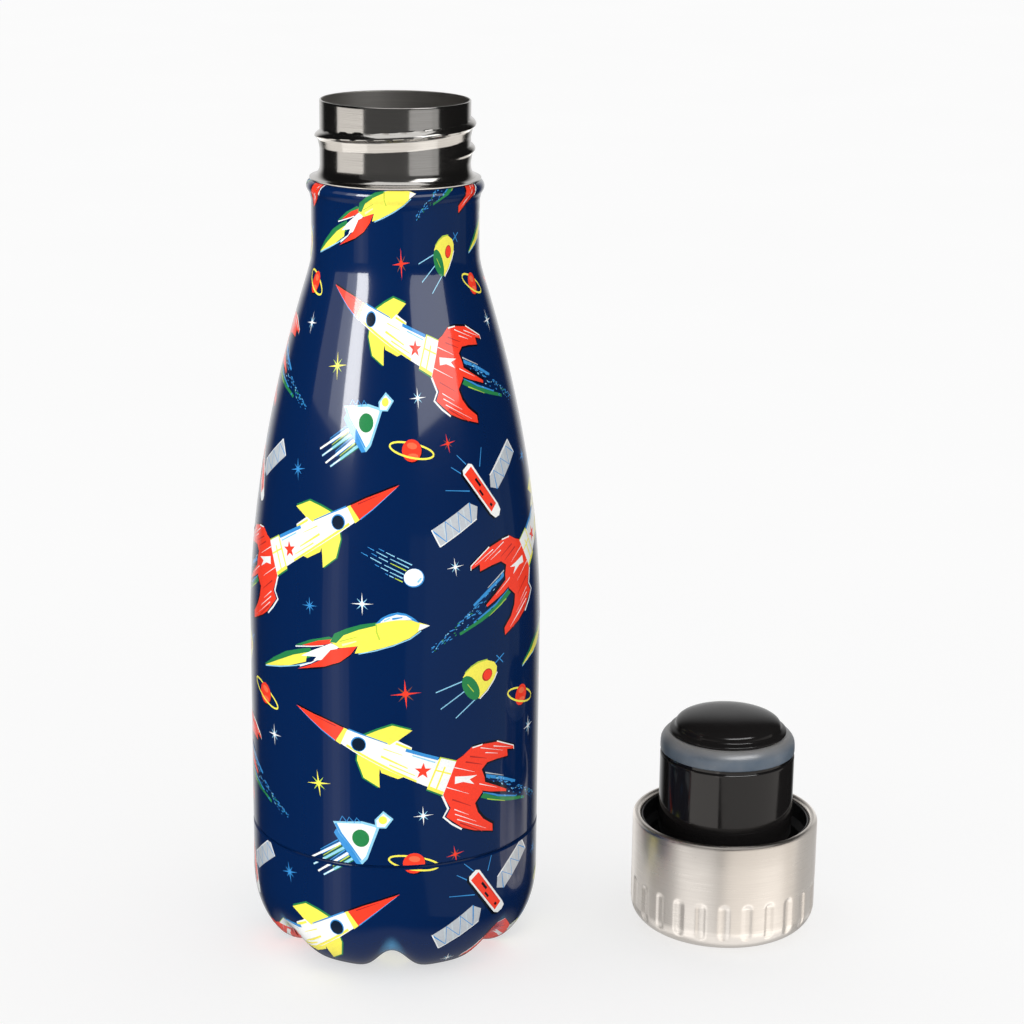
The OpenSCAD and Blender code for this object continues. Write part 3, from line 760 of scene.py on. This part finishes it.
def printed(place, low, high, rows, columns, art, under, over, floor_reflection=None):
    """Cuts the flat sheet along the edges of the inks, wraps it round the bottle and closes it.
    under and over are the (radius, height) points that carry its lower and upper rims to the inside."""
    half = math.pi * body_r
    points = [Vector((x, y)) for x, y in ((-half, low), (half, low), (half, high), (-half, high))]
    faces = [[0, 1, 2, 3]]
    for i in range(columns + 1):
        for v in rows:
            shift = 0.5 if rows.index(v) % 2 and 0 < i < columns and low < v < high else 0
            points.append(Vector((-half + 2 * half * min(columns, i + shift) / columns, v)))
    for outline, _ in art:
        first = len(points)
        points += [Vector(p) for p in outline]
        faces.append(list(range(first, len(points))))
    flat, _, triangles, _, _, owners = delaunay_2d_cdt(points, [], faces, 0, 1e-4)
    bm = bmesh.new()
    tint = bm.loops.layers.float_color.new("print")
    layer = bm.verts.layers.float_vector.new("smooth")
    verts = [bm.verts.new(place(p.x, p.y)) for p in flat]
    for corners, owner in zip(triangles, owners):
        if 0 not in owner:
            continue
        face = bm.faces.new([verts[i] for i in corners])
        top = max(owner)
        colour = art[top - 1][1] if top else navy
        for loop, i in zip(face.loops, corners):
            # painted reflection: in the pressed valleys the colour is pulled towards the white floor's
            # light-blue reflection, less over ink than over navy
            fade = floor_reflection(flat[i].x, flat[i].y) * (0.4 if top else 0.85) if floor_reflection else 0
            loop[tint] = (*(c + (d - c) * fade for c, d in zip(colour, FLOOR_REFLECTION_BLUE)), 1)
    for p, v in zip(flat, verts):
        v[layer] = normal_at(place, p.x, p.y, low, high)
    bmesh.ops.delete(bm, geom=[v for v in verts if not v.link_faces], context="VERTS")
    rims = {"low": [], "high": []}
    seam = []
    marks = {v: p for p, v in zip(flat, verts) if v.is_valid}
    for edge in bm.edges:
        if len(edge.link_faces) == 1:
            a, b = (marks[v] for v in edge.verts)
            if abs(a.y - low) < 1e-3 and abs(b.y - low) < 1e-3:
                rims["low"].append(edge)
            elif abs(a.y - high) < 1e-3 and abs(b.y - high) < 1e-3:
                rims["high"].append(edge)
            else:
                seam += list(edge.verts)
    bmesh.ops.remove_doubles(bm, verts=list(set(seam)), dist=2e-3)
    skin = set(bm.faces)
    ends = []
    for key, stations in (("low", under), ("high", over)):
        edges = [e for e in rims[key] if e.is_valid]
        for r, z in stations:
            made = bmesh.ops.extrude_edge_only(bm, edges=edges)["geom"]
            for v in (g for g in made if isinstance(g, bmesh.types.BMVert)):
                flat_r = math.hypot(v.co.x, v.co.y)
                v.co = (v.co.x * r / flat_r, v.co.y * r / flat_r, z)
            edges = [g for g in made if isinstance(g, bmesh.types.BMEdge)
                     and all(abs(v.co.z - z) < 1e-6 and abs(math.hypot(v.co.x,
                                                                       v.co.y) - r) < 1e-4 for v in g.verts)]
        ends += edges
    bmesh.ops.bridge_loops(bm, edges=ends)
    bmesh.ops.recalc_face_normals(bm, faces=bm.faces)
    for face in bm.faces:
        if face not in skin:
            for loop in face.loops:
                loop[tint] = (*navy, 1)
    bm.faces.ensure_lookup_table()
    return bm, [f in skin for f in bm.faces]


def keep_smooth(piece, is_skin):
    """Gives the printed skin the normals of the smooth shape it was wrapped on."""
    mesh = piece.data
    stored = mesh.attributes["smooth"].data
    wanted = [tuple(stored[mesh.loops[index].vertex_index].vector if skin else polygon.normal)
              for polygon, skin in zip(mesh.polygons, is_skin) for index in polygon.loop_indices]
    mesh.normals_split_custom_set(wanted)
    mesh.attributes.remove(mesh.attributes["smooth"])


shell_rows = ([seam_high + 0.35] + steps(seam_high + 2.5, 74, 22) + steps(76, bead_mark - 1, 50)
              + steps(bead_mark, shell_top, 20))
shell_low = seam_high + 0.35
bm, is_skin = printed(
    on_shell, shell_low, shell_top, shell_rows, 160, all_art(shell_low, shell_top),
    [(body_r - 0.35, seam_high), (body_r - shell_wall, seam_high)],
    [(neck_r, flare_z - 0.1), (16.3, flare_z - 0.1), (16.3, flare_z - 0.7),
     (neck_r - shell_wall + 0.25, flare_z - 1), (neck_r - shell_wall, flare_z - 2.2)]
    + [(shell_radius(z) - shell_wall, z) for z in steps(bead_start - 2, shoulder_z, 14)])
shell = finish_piece(bm, "outer_shell_skin", enamel, "bottle", ["outer_shell"], 180,
                     bottle_x)
keep_smooth(shell, is_skin)

base_low = base_marks[4]
base_rows = (steps(base_low, base_marks[3], 3) + steps(base_marks[3] + 0.8, base_marks[2] - 0.4, 14)
             + steps(base_marks[2], base_marks[1], 26) + steps(base_marks[1] + 1, base_marks[0], 7))
# the comet that would lie across the front valley is left off
bare_half, bare_low, bare_high = 10.5, -6, 11
art_on_base = [a for a in all_art(-7.5, base_marks[0]) if min(p[1] for p in a[0]) > -30
               and not all(abs(p[0]) < bare_half and bare_low < p[1] < bare_high for p in a[0])]
# the last argument paints the white floor's light-blue reflection into the base's valleys
bm, is_skin = printed(
    on_base, base_low, base_marks[0], base_rows, 192, art_on_base,
    [(hole_r, floor_z + 0.6)],
    [(body_r - 0.35, seam_low), (body_r - shell_wall - 0.05, seam_low),
     (body_r - shell_wall - 0.05, seam_low + 4.6), (body_r - shell_wall - 0.65, seam_low + 4.6),
     (body_r - shell_wall - 0.65, corner_z)], painted_valley_reflection)
base = finish_piece(bm, "base_cup_skin", enamel, "bottle", ["base_cup"], 180, bottle_x)
keep_smooth(base, is_skin)

# ---- threaded neck ----

crest_r, thread_z, thread_turn, thread_sweep = 17.3, 180.2, -50, 576
neck_low = height_of("threaded_neck", 0)
neck_section = (
    [(bore_r, z) for z in steps(neck_low, mouth_z - 0.3, 12)]
    + arc((bore_r + steel_r) / 2, mouth_z - 0.235, 0.235, 170, 10, 8)
    + [(steel_r, z) for z in steps(mouth_z - 0.5, flare_z + 3, 64)]
    + [(18.4 - 2.2 * math.sin(math.radians(t)) * 0.985, flare_z + 2.6 - 2.25 * math.cos(math.radians(t)))
       for t in steps(82, 8, 10)]
    + [(18.45, flare_z + 0.25), (18.42, flare_z + 0.05), (18.2, flare_z), (steel_r, flare_z), (steel_r, 160),
       (steel_r, neck_low)])
bm = lathe(neck_section, 192)


def neck_ridge(above, fade):
    """Round on top and steep below, with a long foot down the wall."""
    if above >= 0:
        rise = math.cos(math.pi / 2 * min(1, above / (1.25 * (0.5 + 0.5 * fade)))) ** 0.9
    else:
        rise = 0.5 * (1 - smooth_step(-above / 0.7)) + 0.5 * max(0, 1 + above / 2.7)
    return (crest_r - steel_r) * fade * rise


raise_thread(bm, steel_r, (flare_z + 2.95, mouth_z - 0.4), thread_turn, thread_sweep, thread_z, neck_ridge)
finish_piece(bm, "threaded_neck_steel", neck_steel, "bottle", ["threaded_neck"], 40, bottle_x)

# ---- cap shell with pressed flutes ----

rim_z, edge_r, rim_round, cap_wall = height_of("cap_shell", 1), 5.5, 0.95, 0.7
outer = arc(cap_r - edge_r, edge_r, edge_r, -90, 0, 22)
cap_section = (
    [(0, 0), (6, 0), (12, 0)] + outer + [(cap_r, z) for z in steps(5.9, 13.5, 24)]
    + [(cap_r, 16), (cap_r, 20)] + arc(cap_r - rim_round, rim_z - rim_round, rim_round, 0, 180, 16)
    + [(cap_r - 2 * rim_round, rim_z - rim_round - 0.9), (cap_r - cap_wall, rim_z - rim_round - 1.5)]
    + arc(cap_r - edge_r, edge_r, edge_r - cap_wall, 0, -90, 10) + [(0, cap_wall)])
bm = lathe(cap_section, 400, closed=False)
flutes, flute_low, flute_high, flute_half, flute_depth = 25, 4.4, 11, 1.3, 0.34
for v in bm.verts:
    r = math.hypot(v.co.x, v.co.y)
    on_inner_wall = r < cap_r - cap_wall + 0.05 and v.co.z > edge_r - 0.01
    on_outer_edge = math.hypot(r - (cap_r - edge_r), min(0, v.co.z - edge_r)) > edge_r - 0.1
    if r > cap_r - 2.2 and v.co.z < 13.2 and on_outer_edge and not on_inner_wall:
        spacing = math.tau / flutes
        off = ((math.atan2(v.co.y, v.co.x) + math.pi / 2) / spacing - 0.5) % 1
        off = (off if off < 0.5 else off - 1) * spacing * cap_r
        beyond = max(0, flute_low - v.co.z, v.co.z - flute_high)
        dip = flute_depth * (1 - smooth_step((math.hypot(off,
                                                         beyond) - flute_half * 0.3) / (flute_half * 0.8)))
        v.co.x *= (r - dip) / r
        v.co.y *= (r - dip) / r
finish_piece(bm, "cap_shell_steel", cap_steel, "cap", ["cap_shell"], 50, cap_x)

# ---- black liner, plug and dome, silicone seal ----

spigot_r, plug_r, plug_top, seal_top, dome_top = 12.1, 15.43, 42.2, 46.55, height_of("plug_dome", 1)
liner_r, liner_bore, floor_in = cap_r - cap_wall - 0.05, 17.65, 10.2
liner_ridge_depth, liner_thread_z, liner_thread_turn, liner_thread_sweep = 1.1, 15.75, -170, 421
liner_section = (
    [(spigot_r + 0.45, floor_in - 3.2), (liner_r - 1.6, floor_in - 3.2), (liner_r, floor_in - 2.6),
     (liner_r, rim_z - 2.55), (cap_r - 1.95, rim_z - 1.9), (cap_r - 1.95, rim_z - 1.1)]
    + arc(cap_r - 2.2, rim_z - 1.05, 0.25, 0, 90, 4) + arc(19.15, rim_z - 1.05, 0.25, 90, 180, 4)
    + [(18.9, rim_z - 4.4), (liner_bore, rim_z - 5.8)]
                 + [(liner_bore, z) for z in steps(rim_z - 6.1, floor_in + 0.6, 40)]
    + arc(liner_bore - 0.4, floor_in + 0.4, 0.4, 0, -90, 3) + [(spigot_r + 0.45, floor_in)])
bm = lathe(liner_section, 160)


def liner_ridge(above, fade):
    return -liner_ridge_depth * fade * math.cos(math.pi / 2 * min(1, abs(above))) ** 0.9


raise_thread(bm, liner_bore, (floor_in, rim_z - 6), liner_thread_turn, liner_thread_sweep, liner_thread_z,
             liner_ridge)
finish_piece(bm, "cap_liner_black", liner_black, "cap", ["cap_liner"], 40, cap_x)

plug_section = (
    [(spigot_r + 0.05, floor_in - 4.4), (spigot_r + 0.4, floor_in - 4.4), (spigot_r + 0.4, floor_in + 0.02),
     (plug_r + 0.5, floor_in + 0.02)] + arc(plug_r + 0.55, floor_in + 0.6, 0.55, -100, -180, 5)
    + [(plug_r, z) for z in steps(14, plug_top - 1.4, 8)] + arc(plug_r - 0.35, plug_top - 1.1, 0.35, 0, 90, 6)
    + [(plug_r - 0.55, plug_top - 0.72), (plug_r - 0.58, plug_top), (spigot_r + 0.05, plug_top)])
finish_piece(lathe(plug_section, 160), "plug_body_black", plug_black, "cap", ["plug_body"],
             40, cap_x)

crown = dome_top - 1
dome_section = (
    [(0, dome_top - 2.4), (8.9, dome_top - 2.4), (9.9, dome_top - 3.4), (9.9, plug_top - 14),
     (spigot_r, plug_top - 14), (spigot_r, seal_top + 0.05)]
    + [(13, seal_top + 0.05)] + arc(13, seal_top + 0.45, 0.4, -70, 60, 8)
    + [(12.7, seal_top + 1), (12.4, seal_top + 1.12), (12.2, seal_top + 1.3), (12.1, seal_top + 1.6)]
    + [(12.1 * math.cos(math.radians(t)) ** 0.9, seal_top + 1.7
        + (crown - seal_top - 1.7) * math.sin(math.radians(t)) ** 0.95)
       for t in steps(6, 89.9, 26)] + [(0, crown)])
finish_piece(lathe(dome_section, 160, closed=False), "plug_dome_black", dome_black, "cap", ["plug_dome"],
             40, cap_x)

seal_section = (
    [(spigot_r + 0.1, plug_top + 0.05), (plug_r - 0.3, plug_top + 0.05)]
                + arc(plug_r - 0.3, plug_top + 0.35, 0.3, -80, 0, 5)
    + [(plug_r, plug_top + 1), (plug_r - 0.02, plug_top + 1.8), (plug_r - 0.12, plug_top + 2.5),
       (plug_r - 0.4, plug_top + 3.1), (plug_r - 0.85, plug_top + 3.65), (plug_r - 1.35, seal_top - 0.22),
       (plug_r - 1.85, seal_top), (spigot_r + 0.1, seal_top)])
finish_piece(lathe(seal_section, 160), "seal_ring_silicone", silicone, "lowered", ["seal_ring"],
             50, cap_x)

# ---- finishes of the CAD pieces that stay as they are ----

for node, finish in (("inner_flask", flask_steel), ("inner_flask_base", flask_steel),
                     ("reflective_foil", foil), ("getter", getter_metal), ("getter_clip", plate_steel),
                     ("vacuum_plate", plate_steel), ("vacuum_seal", solder), ("foam_disc", foam_white)):
    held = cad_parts[node]
    held.data.materials.clear()
    held.data.materials.append(finish.material)

# ---- floor and light ----

bm = bmesh.new()
bmesh.ops.create_grid(bm, x_segments=2, y_segments=2, size=3.0)
floor_mesh = bpy.data.meshes.new("floor")
bm.to_mesh(floor_mesh)
bm.free()
floor_mesh.materials.append(floor_paint.material)
floor = put_in_scene("floor", floor_mesh)
floor.location.z = -0.0002
floor.visible_glossy = floor.visible_shadow = False


def pieces_named(name, *members):
    """A set of pieces that one group of lamps shines on."""
    held = bpy.data.collections.new(name)
    for member in members:
        held.objects.link(bpy.data.objects[member])
    return held


def softbox(name, only, seen_from, round_by, upward, away, wide, tall, radiance, colour=(1, 1, 1)):
    """A lamp away metres off, round_by degrees to the right of the front and upward degrees above level,
    as seen from a place given in millimetres."""
    a, e = math.radians(round_by), math.radians(upward)
    toward = Vector((math.sin(a) * math.cos(e), -math.cos(a) * math.cos(e), math.sin(e)))
    data = bpy.data.lights.new(name, "AREA")
    data.shape, data.size, data.size_y, data.color = "RECTANGLE", wide, tall, colour
    data.energy = radiance * math.pi * wide * tall
    lamp = put_in_scene(name, data)
    lamp.location = Vector(seen_from) * MM + toward * away
    lamp.rotation_euler = (-toward).to_track_quat("-Z", "Y").to_euler()
    lamp.light_linking.receiver_collection = only


painted = pieces_named("painted_pieces", "outer_shell_skin", "base_cup_skin")
bare = pieces_named("bare_neck", "threaded_neck_steel")
cup = pieces_named("cap_cup", "cap_shell_steel")
dark = pieces_named("dark_pieces", "cap_liner_black", "plug_body_black", "plug_dome_black",
                    "seal_ring_silicone")

cool, warm, amber = (0.75, 0.95, 1), (1, 0.96, 0.91), (1, 0.95, 0.9)
for only, seen_from, lamps in (
    (painted, (bottle_x, -22, 145), (
        ("strip_core", -46, 20, 0.9, 0.24, 0.46, 13), ("strip_edge", -53, 21, 0.92, 0.5, 0.48, 1.8),
        ("strip_glow", -64, 21, 0.94, 0.9, 0.54, 0.7), ("faint_panel", 42, 24, 0.9, 0.74, 0.5, 2.6))),
    (painted, (bottle_x, -30, 70), (
        ("low_band_narrow", -50, -16, 0.9, 0.1, 0.5, 0.5), ("low_band_middle", -50, -16, 0.9, 0.2, 0.5, 0.35),
        ("low_band_wide", -50, -16, 0.9, 0.34, 0.5, 0.25))),
    (painted, (bottle_x, -20, 70), (
        ("low_side", 60, -16, 0.9, 1.4, 0.5, 0.16, cool), ("low_side_wide", 60, -16, 0.9, 2.2, 0.5, 0.1,
                                                           cool))),
    (bare, (bottle_x, 0, 190), (("bore_light", 0, 78, 0.3, 0.3, 0.3, 1),)),
    (bare, (bottle_x, -16, 180), (
        ("neck_left", -76, -9, 0.3, 0.27, 0.07, 0.95, (1, 0.97, 0.93)),
        ("neck_left_low", -70, -26, 0.3, 0.22, 0.10, 0.35), ("neck_right", 44, -14, 0.3, 0.27, 0.16, 0.42),
        ("neck_high", 50, 36, 0.4, 0.24, 0.22, 2.2), ("neck_fill", 0, 5, 0.8, 2.4, 1.6, 0.065))),
    # the white table seen in the underside of the thread
    (bare, (bottle_x, 0, 20), [
        ("neck_table_%d" % turn, turn, 0, 0.25, 0.289, 0.17, 1.05, warm) for turn in range(0, 360, 60)]),
    (cup, (cap_x, -20, 15), (
        ("cap_front", 42, -10, 0.3, 0.66, 0.44, 0.86, warm), ("cap_right", 125, 0, 0.4, 0.6, 0.5, 0.55),
        ("cap_left", -42, -4, 0.3, 0.3, 0.4, 0.55), ("cap_left_low", -85, -34, 0.3, 0.4, 0.3, 0.45),
        ("cap_back_left", -140, 0, 0.4, 0.4, 0.4, 0.7), ("cap_under", 15, -62, 0.3, 0.8, 0.4, 0.55),
        ("cap_below", 0, -88, 0.3, 1, 1, 0.4), ("cap_top", 0, 70, 0.4, 0.6, 0.4, 0.5))),
    (dark, (cap_x, -20, 35), (
        ("plug_left", -47.5, -14, 0.4, 0.365, 0.3, 1.15, amber),
                              ("plug_front", 37, -14, 0.4, 1.5, 0.3, 0.7, amber))),
    (dark, (cap_x, -8, 50), (("dome_spot", 22, 48, 0.4, 0.34, 0.12, 13),)),
):
    for name, *numbers in lamps:
        softbox(name, only, seen_from, *numbers)

world = bpy.data.worlds.new("studio")
scene.world = world
world.use_nodes = True
world.cycles.sampling_method = "NONE"
tree = world.node_tree
tree.nodes.clear()
ray = add(tree, "ShaderNodeLightPath")
direction = add(tree, "ShaderNodeTexCoord")
split = add(tree, "ShaderNodeSeparateXYZ", (), {0: direction.outputs["Generated"]})
# reflections see a white wall behind, a grey table underneath and a dark room elsewhere
soft, wall, table, dark_room, diffuse_light = {"interpolation_type": "SMOOTHSTEP"}, 1, 0.3, 0.014, 0.97
behind = add(tree, "ShaderNodeMapRange", soft, Value=split.outputs["Y"], From_Min=0.72, From_Max=0.97,
             To_Min=dark_room, To_Max=wall)
under = add(tree, "ShaderNodeMapRange", soft, Value=split.outputs["Z"], From_Min=-0.55, From_Max=-0.8,
            To_Min=0,
            To_Max=table)
room = add(tree, "ShaderNodeMath", {"operation": "MAXIMUM"},
           {0: behind.outputs["Result"], 1: under.outputs["Result"]})
even = add(tree, "ShaderNodeMix", {"data_type": "FLOAT"},
           {0: ray.outputs["Is Diffuse Ray"], 2: room.outputs[0], 3: diffuse_light})
lit = add(tree, "ShaderNodeBackground", Strength=even.outputs[0])
seen = add(tree, "ShaderNodeBackground", Color=(1, 1, 1), Strength=1)
choose = add(tree, "ShaderNodeMixShader", (),
             {0: ray.outputs["Is Camera Ray"], 1: lit.outputs[0], 2: seen.outputs[0]})
add(tree, "ShaderNodeOutputWorld", Surface=choose.outputs[0])

scene.view_settings.view_transform = "Standard"
